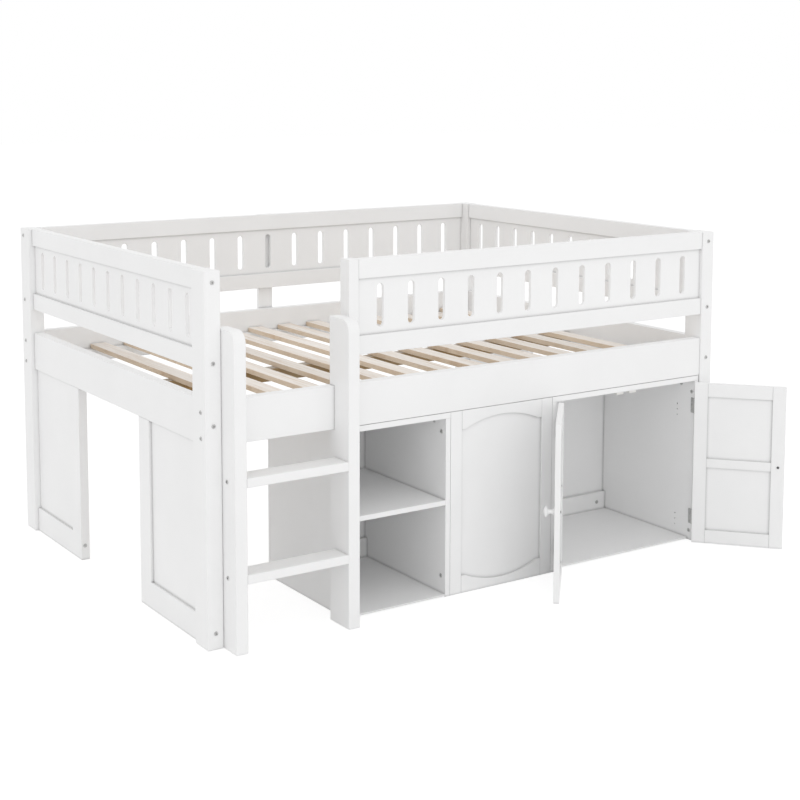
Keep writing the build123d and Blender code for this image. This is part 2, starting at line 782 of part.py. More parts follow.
# Cleats behind the stiles of the fixed panel, held by the partition bolts
with BuildPart() as cleats:
    for edge, sign in ((fixed_x[0], 1), (fixed_x[1], -1)):
        with BuildSketch(Plane.XY.offset(floor_top)):
            with Locations((edge + sign * cleat_size / 2, front + panel_back + cleat_size / 2)):
                Rectangle(cleat_size, cleat_size)
        extrude(amount=cabinet_top_bottom - floor_top)
        for level in partition_bolt_levels:
            with BuildSketch(mouth(edge, front + partition_bolt_setback, level, (-sign, 0, 0))):
                RegularPolygon(shank_hole_radius, bore_sides)
            extrude(amount=-cleat_size, mode=Mode.SUBTRACT)
keep("fixed_panel_cleats", cleats)

# Doors are drawn closed and then turned about their hinge pins to the open rest position
left_pin_x = left + door_bay_start + pin_side_distance
right_pin_x = left + door_bay_end - pin_side_distance
pin_y = front + pin_setback
left_pin = Axis((left_pin_x, pin_y, 0), (0, 0, 1))
right_pin = Axis((right_pin_x, pin_y, 0), (0, 0, 1))
door_height = door_top - door_bottom
door_opening_width = door_width - 2 * door_stile_width
door_openings = (
    (door_bottom + door_rail_height, door_mid_rail_level - door_mid_rail_height / 2),
    (door_mid_rail_level + door_mid_rail_height / 2, door_top - door_rail_height),
)


def keep_turned(label, piece, pin, angle):
    turned = piece.part.rotate(pin, angle).moved(to_origin)
    turned.label = label
    pieces[label] = turned


def door_frame(plane, knob_x):
    inner_plane = plane.offset(-front_panel_thickness)
    groove_plane = plane.offset(-field_setback)
    outline = arched_outline(
        door_opening_width, arch_shoulder_bottom + door_bottom, arch_shoulder_top, arch_rise, arch_flat
    )
    with BuildPart() as frame:
        with BuildSketch(plane):
            with Locations((0, door_bottom + door_height / 2)):
                Rectangle(door_width, door_height)
        extrude(amount=-front_panel_thickness)
        chamfer(frame.edges().filter_by(Axis.Z), fine_easing)
        with BuildSketch(plane):
            make_face(outline.edges())
        extrude(amount=-field_setback, mode=Mode.SUBTRACT)
        with BuildSketch(inner_plane):
            for bottom, top in door_openings:
                with Locations((0, (bottom + top) / 2)):
                    Rectangle(door_opening_width, top - bottom)
        extrude(amount=front_panel_thickness - field_setback, mode=Mode.SUBTRACT)
        with BuildSketch(groove_plane):
            with Locations((0, middle(field_span))):
                Rectangle(door_opening_width + 2 * field_lap, field_span[1] - field_span[0])
        extrude(amount=-field_thickness, mode=Mode.SUBTRACT)
        for face, inward in ((plane, -1), (inner_plane, 1)):
            with BuildSketch(face):
                joint_grooves(door_opening_width, 2 * door_top)
            extrude(amount=inward * joint_groove_depth, mode=Mode.SUBTRACT)
        with BuildSketch(mouth(knob_x, front + front_setback, knob_level, (0, -1, 0))):
            RegularPolygon(knob_screw_radius + bolt_clearance, bore_sides)
        extrude(amount=-front_panel_thickness, mode=Mode.SUBTRACT)
    return frame


def door_field(plane):
    with BuildPart() as field:
        with BuildSketch(plane.offset(-field_setback)):
            with Locations((0, middle(field_span))):
                Rectangle(door_opening_width + 2 * field_lap, field_span[1] - field_span[0])
        extrude(amount=-field_thickness)
    return field


# Mushroom knob: foot, neck and cap, given as (start, end, radius) along its middle line
def door_knob(x):
    face_y = front + front_setback
    foot = mouth(x, face_y, knob_level, (0, -1, 0))
    rim = knob_reach - knob_cap_height
    stages = (
        (0, knob_foot_height, knob_foot_radius),
        (knob_foot_height, rim, knob_neck_radius),
        (rim, knob_reach, knob_cap_radius),
    )
    with BuildPart() as knob:
        for start, end, radius in stages:
            with BuildSketch(foot.offset(start)):
                RegularPolygon(radius, knob_sides)
            extrude(amount=end - start)
        chamfer(knob.faces().sort_by(Axis.Y)[0].edges(), knob_crown_easing)
        with BuildSketch(mouth(x, face_y, knob_level, (0, 1, 0))):
            RegularPolygon(knob_screw_radius + bolt_clearance, bore_sides)
        extrude(amount=-knob_screw_bite, mode=Mode.SUBTRACT)
    return knob


# Screw that holds the knob from the inner face of its door
def knob_screw(x):
    inner_y = front + front_setback + front_panel_thickness
    with BuildPart() as screw:
        with BuildSketch(Plane(origin=(x, inner_y, knob_level), z_dir=(0, 1, 0))) as seat:
            RegularPolygon(knob_screw_head_radius, bolt_head_sides)
        extrude(amount=knob_screw_head_height)
        with BuildSketch(seat.workplanes[0]):
            RegularPolygon(knob_screw_radius, bore_sides)
        extrude(amount=-front_panel_thickness - knob_screw_bite + board_gap)
    return screw.part


left_door_middle = left + door_bay_start + door_side_gap + door_width / 2
right_door_middle = left + door_bay_end - door_side_gap - door_width / 2
left_knob_x = left_door_middle + door_width / 2 - knob_edge_distance
right_knob_x = right_door_middle - door_width / 2 + knob_edge_distance
doors = (
    ("left", left_door_middle, left_knob_x, left_pin, left_door_angle),
    ("right", right_door_middle, right_knob_x, right_pin, right_door_angle),
)
for side, middle_x, knob_x, pin, angle in doors:
    plane = Plane(origin=(middle_x, front + front_setback, 0), x_dir=(1, 0, 0), z_dir=(0, -1, 0))
    keep_turned(side + "_door_frame", door_frame(plane, knob_x), pin, angle)
    keep_turned(side + "_door_field", door_field(plane), pin, angle)
    keep_turned(side + "_door_knob", door_knob(knob_x), pin, angle)

# Butt hinges: the fixed leaves hold the pins, the door leaves turn on them
knuckle_length = (leaf_height - (knuckle_count - 1) * knuckle_end_gap) / knuckle_count


# One leaf with its knuckles; side is 1 where the leaf lies on the +X side of the pin
def hinge_leaf(x, level, side, fixed):
    bottom = level - leaf_height / 2
    bore = pin_radius + (0 if fixed else pin_running_gap)
    plate_x = side * (leaf_gap / 2 + leaf_thickness / 2)
    first = 0 if fixed else 1
    with BuildPart() as leaf:
        with BuildSketch(Plane.XY.offset(bottom)):
            with Locations((x + plate_x, pin_y + (leaf_plate_start + leaf_width) / 2)):
                Rectangle(leaf_thickness, leaf_width - leaf_plate_start)
        extrude(amount=leaf_height)
        for index in range(first, knuckle_count, 2):
            base = bottom + index * (knuckle_length + knuckle_end_gap)
            with BuildSketch(Plane.XY.offset(base)):
                with Locations((x, pin_y)):
                    RegularPolygon(knuckle_radius, knuckle_sides)
                with Locations((x + plate_x, pin_y + (leaf_tab_start + leaf_plate_start) / 2)):
                    Rectangle(leaf_thickness, leaf_plate_start - leaf_tab_start)
                if not fixed:
                    with Locations((x, pin_y)):
                        Circle(bore, mode=Mode.SUBTRACT)
            extrude(amount=knuckle_length)
        if fixed:
            with BuildSketch(Plane.XY.offset(bottom)):
                with Locations((x, pin_y)):
                    Circle(pin_radius)
            extrude(amount=leaf_height)
    return leaf.part


def hinge_leaves(sides_and_pins, fixed):
    with BuildPart() as leaves:
        for x, side in sides_and_pins:
            for level in leaf_levels:
                add(hinge_leaf(x, level, side, fixed))
    return leaves


keep("hinge_fixed_leaves", hinge_leaves(((left_pin_x, -1), (right_pin_x, 1)), True))
door_hardware = (
    ("left", left_pin_x, 1, left_knob_x, left_pin, left_door_angle),
    ("right", right_pin_x, -1, right_knob_x, right_pin, right_door_angle),
)
for side, pin_x, leaf_side, knob_x, pin, angle in door_hardware:
    with BuildPart() as hardware:
        add(hinge_leaves(((pin_x, leaf_side),), False).part)
        add(knob_screw(knob_x))
    keep_turned(side + "_door_hardware", hardware, pin, angle)

# Catches under the cabinet top, behind the meeting edges of the doors
catches_x = left + (door_bay_start + door_bay_end) / 2 + catch_shift
catch_y = front + panel_back + catch_front_gap + catch_depth / 2
with BuildPart() as catches:
    with BuildSketch(Plane.XY.offset(cabinet_top_bottom - catch_height)):
        with Locations((catches_x, catch_y)):
            with GridLocations(catch_spacing, 0, 2, 1):
                Rectangle(catch_length, catch_depth)
    extrude(amount=catch_height)
keep("door_catches", catches)


# Bolt with a low round head and a hexagonal socket; the head stands on its mouth plane
def bolt(length):
    with BuildPart() as piece:
        with BuildSketch():
            RegularPolygon(bolt_head_radius, bolt_head_sides)
        extrude(amount=bolt_head_height)
        with BuildSketch(Plane.XY.offset(bolt_head_height)):
            RegularPolygon(bolt_socket_radius, socket_sides)
        extrude(amount=-bolt_socket_depth, mode=Mode.SUBTRACT)
        with BuildSketch():
            RegularPolygon(bolt_shank_radius, bore_sides)
        extrude(amount=-length)
    return piece.part


end_bolt = bolt(post_depth + bolt_bite - board_gap)
side_bolt = bolt(post_width + bolt_bite - board_gap)
free_bolt = bolt(bolt_bite - board_gap)
ladder_bolt = bolt(ladder_side_thickness + bolt_bite - board_gap)
cabinet_bolt = bolt(cabinet_board + bolt_bite - board_gap)
cleat_bolt = bolt(cabinet_board + cleat_size - board_gap)
back_bolt = bolt(stretcher_thickness + back_bolt_bite - board_gap)
top_bolt = bolt(top_bolt_bite)
with BuildPart() as frame_bolts:
    with Locations(*end_bolt_mouths):
        add(end_bolt)
    with Locations(*side_bolt_mouths):
        add(side_bolt)
    with Locations(*free_bolt_mouths):
        add(free_bolt)
keep("frame_bolts", frame_bolts)
with BuildPart() as ladder_bolts:
    with Locations(*ladder_bolt_mouths):
        add(ladder_bolt)
keep("ladder_bolts", ladder_bolts)
with BuildPart() as cabinet_bolts:
    with Locations(*cabinet_mouths):
        add(cabinet_bolt)
    with Locations(*(partition_mouths_left + partition_mouths_right)):
        add(cleat_bolt)
    with Locations(*stretcher_mouths):
        add(back_bolt)
    with Locations(*top_mouths):
        add(top_bolt)
keep("cabinet_bolts", cabinet_bolts)

os.makedirs("parts", exist_ok=True)
for label, shape in pieces.items():
    export_step(shape, "parts/" + label + ".step")
print(len(pieces), "parts written")
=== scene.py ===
import math
import bmesh
import bpy
import numpy as np
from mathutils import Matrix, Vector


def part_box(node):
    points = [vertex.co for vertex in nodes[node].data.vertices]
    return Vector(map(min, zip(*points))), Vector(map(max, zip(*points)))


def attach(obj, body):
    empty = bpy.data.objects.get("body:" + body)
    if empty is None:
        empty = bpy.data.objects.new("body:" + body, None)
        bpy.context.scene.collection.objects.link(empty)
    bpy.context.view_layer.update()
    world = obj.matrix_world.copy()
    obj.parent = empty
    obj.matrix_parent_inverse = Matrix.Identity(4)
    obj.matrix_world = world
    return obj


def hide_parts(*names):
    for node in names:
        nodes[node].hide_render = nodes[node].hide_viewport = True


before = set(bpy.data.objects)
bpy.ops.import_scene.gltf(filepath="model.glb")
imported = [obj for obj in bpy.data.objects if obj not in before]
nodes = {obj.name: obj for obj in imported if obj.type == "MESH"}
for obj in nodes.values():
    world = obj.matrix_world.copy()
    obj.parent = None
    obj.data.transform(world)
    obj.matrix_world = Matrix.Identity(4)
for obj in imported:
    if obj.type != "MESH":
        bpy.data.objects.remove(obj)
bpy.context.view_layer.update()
print("frame loaded:", len(nodes), "nodes")

# The camera stands off the bed's front left corner and tips down a little; lens shift does the rest of the framing.
cameraSettings = {"place": (-1.9115, -3.7998, 1.6496), "tilt": -6.286, "turn": -32.898,
                  "lens": 68.017, "sensor": 36, "shiftX": 0.04, "shiftY": -0.2, "clipEnd": 60}
cameraData = bpy.data.cameras.new("photoCamera")
cameraData.sensor_width = cameraSettings["sensor"]
cameraData.lens = cameraSettings["lens"]
cameraData.shift_x = cameraSettings["shiftX"]
cameraData.shift_y = cameraSettings["shiftY"]
cameraData.clip_end = cameraSettings["clipEnd"]
camera = bpy.data.objects.new("photoCamera", cameraData)
camera.location = cameraSettings["place"]
camera.rotation_euler = (math.radians(90 + cameraSettings["tilt"]), 0, math.radians(cameraSettings["turn"]))
bpy.context.scene.collection.objects.link(camera)
bpy.context.scene.camera = camera
print("camera set")


def metres(millimetres):
    return millimetres / 1000


def perMetre(millimetres):
    # how often something of this size fits in a metre, which is a pattern's scale on Object coordinates
    return 1000 / millimetres


def linearColour(hexText):
    # each channel c/255 becomes c/12.92 up to 0.04045, else ((c + 0.055) / 1.055) to the power 2.4
    channels = [int(hexText[i:i + 2], 16) / 255 for i in (1, 3, 5)]
    return tuple(c / 12.92 if c <= 0.04045 else ((c + 0.055) / 1.055) ** 2.4 for c in channels) + (1.0,)


def addNode(tree, kind, settings=None, inputs=None, links=None, stops=()):
    # one node: its properties, its socket values, the sockets that feed it, and a ramp's rising (place, hex) stops
    node = tree.nodes.new(kind)
    for name, value in (settings or {}).items():
        setattr(node, name, value)
    for socket, value in (inputs or {}).items():
        node.inputs[socket].default_value = value
    for socket, source in (links or {}).items():
        tree.links.new(source, node.inputs[socket])
    for index, (place, colour) in enumerate(stops):
        elements = node.color_ramp.elements
        element = elements[index] if index < len(elements) else elements.new(place)
        element.position = place
        element.color = linearColour(colour)
    return node


def newMaterial(name):
    material = bpy.data.materials.new(name)
    material.use_nodes = True
    material.node_tree.nodes.clear()
    return material, material.node_tree


# Satin white lacquer, sprayed on sanded wood and fibreboard. The eye gets an even neutral white, a faint orange
# peel in the sheen, the grain just telegraphing through as long shallow ridges and softly sanded edges. A grey
# painted shade darkens every joint, corner and recess where walls stand within a few mm. The posts and the ladder's
# sides stand apart from their neighbours, so their painted shade is fainter. Names with Mm are in millimetres,
# heights in metres.
lacquer = {"whites": ((0.3, "#F6F6F6"), (0.7, "#F9F9F9")), "cloudMm": 260.0,
           "cloud": {"Detail": 3.0, "Roughness": 0.55},
           "paintedShade": "#A6A6A6", "paintedShadeMm": 11.0, "paintedShadeShare": 0.65, "postPaintedShadeShare": 0.15, "openness": (0.3, 0.95),
           "edgeMm": 0.9, "roughness": (0.36, 0.5), "roughnessOver": (0.25, 0.75), "ior": 1.49, "specular": 0.45,
           "peelMm": 3.0, "peelDetail": 1.0, "peelStrength": 0.5, "peelHeight": 0.00006,
           "grainMm": 5.0, "grainStretch": 26.0, "grain": {"Detail": 4.0, "Roughness": 0.6, "Distortion": 0.35},
           "grainStrength": 0.8, "grainHeight": 0.00006}


def whiteLacquer(name, along, paintedShadeShare=lacquer["paintedShadeShare"]):
    # colour = slow noise between two whites, mixed with grey painted shade where walls stand within a few mm;
    # height = fine noise + noise stretched along the grain, on normals that are rounded at the edges
    material, tree = newMaterial(name)
    place = addNode(tree, "ShaderNodeTexCoord").outputs["Object"]
    stretch = [perMetre(lacquer["grainMm"])] * 3
    stretch[along] /= lacquer["grainStretch"]
    grainPlace = addNode(tree, "ShaderNodeMapping", inputs={"Scale": stretch}, links={"Vector": place})
    cloud = addNode(tree, "ShaderNodeTexNoise", links={"Vector": place},
                    inputs={"Scale": perMetre(lacquer["cloudMm"]), **lacquer["cloud"]})
    grain = addNode(tree, "ShaderNodeTexNoise", links={"Vector": grainPlace.outputs["Vector"]},
                    inputs={"Scale": 1.0, **lacquer["grain"]})
    peel = addNode(tree, "ShaderNodeTexNoise", links={"Vector": place},
                   inputs={"Scale": perMetre(lacquer["peelMm"]), "Detail": lacquer["peelDetail"]})
    white = addNode(tree, "ShaderNodeValToRGB", links={"Fac": cloud.outputs["Fac"]}, stops=lacquer["whites"])
    # painted shade: where ambient occlusion finds walls within a few mm, the white is darkened towards grey
    openness = addNode(tree, "ShaderNodeAmbientOcclusion", {"samples": 8}, {"Distance": metres(lacquer["paintedShadeMm"])})
    tight, free = lacquer["openness"]
    paintedShade = addNode(tree, "ShaderNodeMapRange", links={"Value": openness.outputs["AO"]},
                    inputs={"From Min": tight, "From Max": free, "To Min": paintedShadeShare, "To Max": 0.0})
    colour = addNode(tree, "ShaderNodeMix", {"data_type": "RGBA"}, {7: linearColour(lacquer["paintedShade"])},
                     {"Factor": paintedShade.outputs["Result"], 6: white.outputs["Color"]})
    (low, high), (fromLow, fromHigh) = lacquer["roughness"], lacquer["roughnessOver"]
    rough = addNode(tree, "ShaderNodeMapRange", links={"Value": grain.outputs["Fac"]},
                    inputs={"From Min": fromLow, "From Max": fromHigh, "To Min": low, "To Max": high})
    edge = addNode(tree, "ShaderNodeBevel", {"samples": 4}, {"Radius": metres(lacquer["edgeMm"])})
    peelBump = addNode(tree, "ShaderNodeBump",
                       inputs={"Strength": lacquer["peelStrength"], "Distance": lacquer["peelHeight"]},
                       links={"Height": peel.outputs["Fac"], "Normal": edge.outputs["Normal"]})
    grainBump = addNode(tree, "ShaderNodeBump",
                        inputs={"Strength": lacquer["grainStrength"], "Distance": lacquer["grainHeight"]},
                        links={"Height": grain.outputs["Fac"], "Normal": peelBump.outputs["Normal"]})
    shader = addNode(tree, "ShaderNodeBsdfPrincipled",
                     inputs={"IOR": lacquer["ior"], "Specular IOR Level": lacquer["specular"]},
                     links={"Base Color": colour.outputs[2], "Roughness": rough.outputs["Result"],
                            "Normal": grainBump.outputs["Normal"]})
    addNode(tree, "ShaderNodeOutputMaterial", links={"Surface": shader.outputs["BSDF"]})
    return material


# Planed, unfinished pine. The eye gets pale, slightly pink faces with soft late-wood lines along the slat, yellower
# sawn edges and a few small knots. Each slat falls in a band of its own, boardMm wide, with its own tone and rings.
# The beam under the slats is the same wood, darker and more saturated: painted shade, for the shadow it lies in.
pine = {"woods": ((0.36, "#F8F2EC"), (0.56, "#F0E7DD"), (0.72, "#DFCBB6")), "boardMm": 131.8, "boardShift": 7.3,
        "ringMm": 7.0, "ringStretch": 22.0,
        "rings": {"Scale": 0.55, "Detail": 5.0, "Roughness": 0.62, "Distortion": 0.9},
        "knot": "#A3805F", "knotShare": 0.75, "knotMm": 150.0, "knotStretch": 0.55, "knotEdge": (0.035, 0.085),
        "edge": "#EADBC6", "edgeShare": 0.9, "edgeOver": (0.5, 0.9), "tones": (0.93, 1.05),
        "fibreMm": 0.9, "fibreStretch": 60, "fibreDetail": 2.0, "fibreStrength": 0.6, "fibreHeight": 0.00012,
        "roughness": (0.55, 0.72), "ior": 1.5, "specular": 0.35,
        "plain": {"brightness": 1.0, "saturation": 0.95}, "shadedBeam": {"brightness": 0.5, "saturation": 1.7}}


def planedPine(name, quarterTurn, brightness, saturation):
    # rings = bands of noise stretched along the board and shifted from slat to slat;
    # knots = the middles of the cells of a Voronoi pattern
    material, tree = newMaterial(name)
    place = addNode(tree, "ShaderNodeTexCoord").outputs["Object"]
    place = addNode(tree, "ShaderNodeMapping", inputs={"Rotation": (0, 0, quarterTurn * math.pi / 2)},
                    links={"Vector": place}).outputs["Vector"]
    axes = addNode(tree, "ShaderNodeSeparateXYZ", links={"Vector": place})
    bands = addNode(tree, "ShaderNodeMath", {"operation": "MULTIPLY"}, {1: perMetre(pine["boardMm"])},
                    {0: axes.outputs["X"]})
    board = addNode(tree, "ShaderNodeMath", {"operation": "FLOOR"}, links={0: bands.outputs["Value"]})
    tone = addNode(tree, "ShaderNodeTexWhiteNoise", {"noise_dimensions": "1D"}, links={"W": board.outputs["Value"]})
    shift = addNode(tree, "ShaderNodeMath", {"operation": "MULTIPLY"}, {1: pine["boardShift"]},
                    {0: tone.outputs["Value"]})
    moved = addNode(tree, "ShaderNodeCombineXYZ",
                    links={"X": axes.outputs["X"], "Y": axes.outputs["Y"], "Z": shift.outputs["Value"]})
    ringScale = perMetre(pine["ringMm"])
    ringPlace = addNode(tree, "ShaderNodeMapping", links={"Vector": moved.outputs["Vector"]},
                        inputs={"Scale": (ringScale, ringScale / pine["ringStretch"], 1.0)})
    rings = addNode(tree, "ShaderNodeTexNoise", inputs=pine["rings"], links={"Vector": ringPlace.outputs["Vector"]})
    fibreScale = perMetre(pine["fibreMm"])
    fibrePlace = addNode(tree, "ShaderNodeMapping", links={"Vector": place},
                         inputs={"Scale": (fibreScale, fibreScale / pine["fibreStretch"], fibreScale)})
    fibre = addNode(tree, "ShaderNodeTexNoise", inputs={"Scale": 1.0, "Detail": pine["fibreDetail"]},
                    links={"Vector": fibrePlace.outputs["Vector"]})
    wood = addNode(tree, "ShaderNodeValToRGB", links={"Fac": rings.outputs["Fac"]}, stops=pine["woods"])
    knotScale = perMetre(pine["knotMm"])
    knotPlace = addNode(tree, "ShaderNodeMapping", links={"Vector": moved.outputs["Vector"]},
                        inputs={"Scale": (knotScale, knotScale * pine["knotStretch"], 1.0)})
    knots = addNode(tree, "ShaderNodeTexVoronoi", {"feature": "F1"}, {"Scale": 1.0, "Randomness": 1.0},
                    {"Vector": knotPlace.outputs["Vector"]})
    core, rim = pine["knotEdge"]
    knotMask = addNode(tree, "ShaderNodeMapRange", links={"Value": knots.outputs["Distance"]},
                       inputs={"From Min": core, "From Max": rim, "To Min": pine["knotShare"], "To Max": 0.0})
    knotted = addNode(tree, "ShaderNodeMix", {"data_type": "RGBA"}, {7: linearColour(pine["knot"])},
                      {"Factor": knotMask.outputs["Result"], 6: wood.outputs["Color"]})
    surface = addNode(tree, "ShaderNodeNewGeometry")
    facing = addNode(tree, "ShaderNodeSeparateXYZ", links={"Vector": surface.outputs["True Normal"]})
    flatness = addNode(tree, "ShaderNodeMath", {"operation": "ABSOLUTE"}, links={0: facing.outputs["Z"]})
    upright, flat = pine["edgeOver"]
    sawn = addNode(tree, "ShaderNodeMapRange", links={"Value": flatness.outputs["Value"]},
                   inputs={"From Min": upright, "From Max": flat, "To Min": pine["edgeShare"], "To Max": 0.0})
    edged = addNode(tree, "ShaderNodeMix", {"data_type": "RGBA", "blend_type": "MULTIPLY"},
                    {7: linearColour(pine["edge"])}, {"Factor": sawn.outputs["Result"], 6: knotted.outputs[2]})
    dark, light = pine["tones"]
    value = addNode(tree, "ShaderNodeMapRange", links={"Value": tone.outputs["Value"]},
                    inputs={"To Min": dark * brightness, "To Max": light * brightness})
    toned = addNode(tree, "ShaderNodeHueSaturation", inputs={"Saturation": saturation},
                    links={"Color": edged.outputs[2], "Value": value.outputs["Result"]})
    low, high = pine["roughness"]
    rough = addNode(tree, "ShaderNodeMapRange", inputs={"To Min": low, "To Max": high},
                    links={"Value": rings.outputs["Fac"]})
    bump = addNode(tree, "ShaderNodeBump", links={"Height": fibre.outputs["Fac"]},
                   inputs={"Strength": pine["fibreStrength"], "Distance": pine["fibreHeight"]})
    shader = addNode(tree, "ShaderNodeBsdfPrincipled",
                     inputs={"IOR": pine["ior"], "Specular IOR Level": pine["specular"]},
                     links={"Base Color": toned.outputs["Color"], "Roughness": rough.outputs["Result"],
                            "Normal": bump.outputs["Normal"]})
    addNode(tree, "ShaderNodeOutputMaterial", links={"Surface": shader.outputs["BSDF"]})
    return material


# Zinc-plated steel, pressed and barrel plated: the eye gets a soft grey with a cloudy sheen. The knob screws are
# given a dull dark grey instead, painted shade for the dark of their cross recesses.
plating = {"zinc": ((0.35, "#B4B4B3"), (0.65, "#D6D6D5")), "recessShade": ((0.35, "#4C4C4E"), (0.65, "#6A6A6B")),
           "cloudMm": 9.0, "cloud": {"Detail": 4.0, "Roughness": 0.7}, "roughness": (0.28, 0.46),
           "strength": 0.3, "height": 0.00003}


def platedSteel(name, greys):
    # colour, roughness and height = noise at the size of the plating's clouds
    material, tree = newMaterial(name)
    place = addNode(tree, "ShaderNodeTexCoord").outputs["Object"]
    cloud = addNode(tree, "ShaderNodeTexNoise", links={"Vector": place},
                    inputs={"Scale": perMetre(plating["cloudMm"]), **plating["cloud"]})
    colour = addNode(tree, "ShaderNodeValToRGB", links={"Fac": cloud.outputs["Fac"]}, stops=greys)
    low, high = plating["roughness"]
    rough = addNode(tree, "ShaderNodeMapRange", inputs={"To Min": low, "To Max": high},
                    links={"Value": cloud.outputs["Fac"]})
    bump = addNode(tree, "ShaderNodeBump", links={"Height": cloud.outputs["Fac"]},
                   inputs={"Strength": plating["strength"], "Distance": plating["height"]})
    shader = addNode(tree, "ShaderNodeBsdfPrincipled", inputs={"Metallic": 1.0},
                     links={"Base Color": colour.outputs["Color"], "Roughness": rough.outputs["Result"],
                            "Normal": bump.outputs["Normal"]})
    addNode(tree, "ShaderNodeOutputMaterial", links={"Surface": shader.outputs["BSDF"]})
    return material


# Injection-moulded white plastic of the door catches: the eye gets an off-white with a fine spark-eroded texture.
catchPlastic = {"colour": "#F0EFEC", "roughness": 0.5, "ior": 1.5,
                "grainMm": 0.8, "grainDetail": 1.0, "strength": 0.4, "height": 0.00005}


def mouldedPlastic(name):
    # height = fine noise at the size of the mould's texture
    material, tree = newMaterial(name)
    place = addNode(tree, "ShaderNodeTexCoord").outputs["Object"]
    grain = addNode(tree, "ShaderNodeTexNoise", links={"Vector": place},
                    inputs={"Scale": perMetre(catchPlastic["grainMm"]), "Detail": catchPlastic["grainDetail"]})
    bump = addNode(tree, "ShaderNodeBump", links={"Height": grain.outputs["Fac"]},
                   inputs={"Strength": catchPlastic["strength"], "Distance": catchPlastic["height"]})
    shader = addNode(tree, "ShaderNodeBsdfPrincipled", links={"Normal": bump.outputs["Normal"]},
                     inputs={"Base Color": linearColour(catchPlastic["colour"]),
                             "Roughness": catchPlastic["roughness"], "IOR": catchPlastic["ior"]})
    addNode(tree, "ShaderNodeOutputMaterial", links={"Surface": shader.outputs["BSDF"]})
    return material


lacquerAlongX = whiteLacquer("satin_white_lacquer_along_x", 0)
lacquerAlongY = whiteLacquer("satin_white_lacquer_along_y", 1)
lacquerAlongZ = whiteLacquer("satin_white_lacquer_along_z", 2)
# the posts and the ladder's sides get a fainter grey painted shade in their joints
postLacquer = whiteLacquer("satin_white_post_lacquer", 2, lacquer["postPaintedShadeShare"])
knobLacquer = whiteLacquer("satin_white_knob_lacquer", 2)
slatPine = planedPine("planed_pine_along_y", 0, **pine["plain"])
# painted shade: the beam's pine is darkened to half and more saturated, for the shade under the slats
beamPine = planedPine("shade_darkened_pine_along_x", 1, **pine["shadedBeam"])
steel = platedSteel("zinc_plated_steel", plating["zinc"])
# painted shade: the knob screws' steel is a dark grey, standing in for the shade in their cross recesses
darkSteel = platedSteel("shade_darkened_steel", plating["recessShade"])
plastic = mouldedPlastic("moulded_white_plastic")
print("materials made")

# The finish of a CAD node goes by the first row with a word of its name. The other boards go by their grain, which
# runs along their longest side.
finishes = ((("slats",), slatPine), (("centre_beam",), beamPine), (("door_catches",), plastic),
            (("bolts", "hinge", "hardware", "bracket"), steel),
            (("door", "panel_f", "infill", "partition", "cabinet_side"), lacquerAlongZ),
            (("post_", "ladder_side"), postLacquer))


def finishOf(name):
    for words, material in finishes:
        if any(word in name for word in words):
            return material
    low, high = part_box(name)
    size = [high[i] - low[i] for i in range(3)]
    return (lacquerAlongX, lacquerAlongY, lacquerAlongZ)[size.index(max(size))]


for name, thing in nodes.items():
    if not thing.data.materials:
        thing.data.materials.append(None)
    for index in range(len(thing.data.materials)):
        thing.data.materials[index] = finishOf(name)
print("frame dressed")

mergeWithin = 0.00001  # metres within which two points are one
sliverLength = 0.000005  # metres under which an edge is nothing
levelWithin = 0.0001  # metres within which CAD points are level


def gridFaces(rows, columns, wrap, start):
    # quad (r, c), (r, c+1), (r+1, c+1), (r+1, c) for every cell; wrap joins the last column to the first
    r, c = np.meshgrid(np.arange(rows - 1), np.arange(columns if wrap else columns - 1), indexing="ij")
    n = (c + 1) % columns
    corners = [r * columns + c, r * columns + n, (r + 1) * columns + n, (r + 1) * columns + c]
    return start + np.stack(corners, axis=-1).reshape(-1, 4)


def makePiece(name, grids, material, body, replaced=None, sharpAngle=35):
    # one mesh from a list of (points[rows, columns, 3], wrap); doubles are merged and the faces turned outward
    vertices, faces, count = [], [], 0
    for points, wrap in grids:
        rows, columns = points.shape[:2]
        vertices.append(points.reshape(-1, 3))
        faces.append(gridFaces(rows, columns, wrap, count))
        count += rows * columns
    mesh = bpy.data.meshes.new(name)
    mesh.from_pydata(np.concatenate(vertices).tolist(), [], np.concatenate(faces).tolist())
    shell = bmesh.new()
    shell.from_mesh(mesh)
    bmesh.ops.remove_doubles(shell, verts=shell.verts, dist=mergeWithin)
    bmesh.ops.dissolve_degenerate(shell, edges=shell.edges, dist=sliverLength)
    bmesh.ops.recalc_face_normals(shell, faces=shell.faces)
    shell.to_mesh(mesh)
    shell.free()
    mesh.materials.append(material)
    mesh.polygons.foreach_set("use_smooth", np.ones(len(mesh.polygons), dtype=bool))
    mesh.set_sharp_from_angle(angle=math.radians(sharpAngle))
    piece = bpy.data.objects.new(name, mesh)
    bpy.context.scene.collection.objects.link(piece)
    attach(piece, body)
    if replaced:
        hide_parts(replaced)


def meshPoints(mesh):
    # the mesh's vertices as an array of (x, y, z)
    points = np.empty(len(mesh.vertices) * 3)
    mesh.vertices.foreach_get("co", points)
    return points.reshape(-1, 3)


def solidsOf(node):
    # the CAD node's separate solids, each as its array of points: on a merged copy both ends of every edge take the
    # smaller of their labels, until no label changes
    shell = bmesh.new()
    shell.from_mesh(nodes[node].data)
    bmesh.ops.remove_doubles(shell, verts=shell.verts, dist=mergeWithin)
    merged = bpy.data.meshes.new("merged")
    shell.to_mesh(merged)
    shell.free()
    points = meshPoints(merged)
    ends = np.empty(len(merged.edges) * 2, dtype=np.int32)
    merged.edges.foreach_get("vertices", ends)
    bpy.data.meshes.remove(merged)
    ends = ends.reshape(-1, 2)
    label, before = np.arange(len(points)), None
    while before is None or (label != before).any():
        before = label.copy()
        smaller = label[ends].min(axis=1)
        np.minimum.at(label, ends[:, 0], smaller)
        np.minimum.at(label, ends[:, 1], smaller)
    return [points[label == own] for own in np.unique(label)]


def boxMiddle(points):
    # half way between the least and the greatest x, y and z
    return (points.max(axis=0) + points.min(axis=0)) / 2


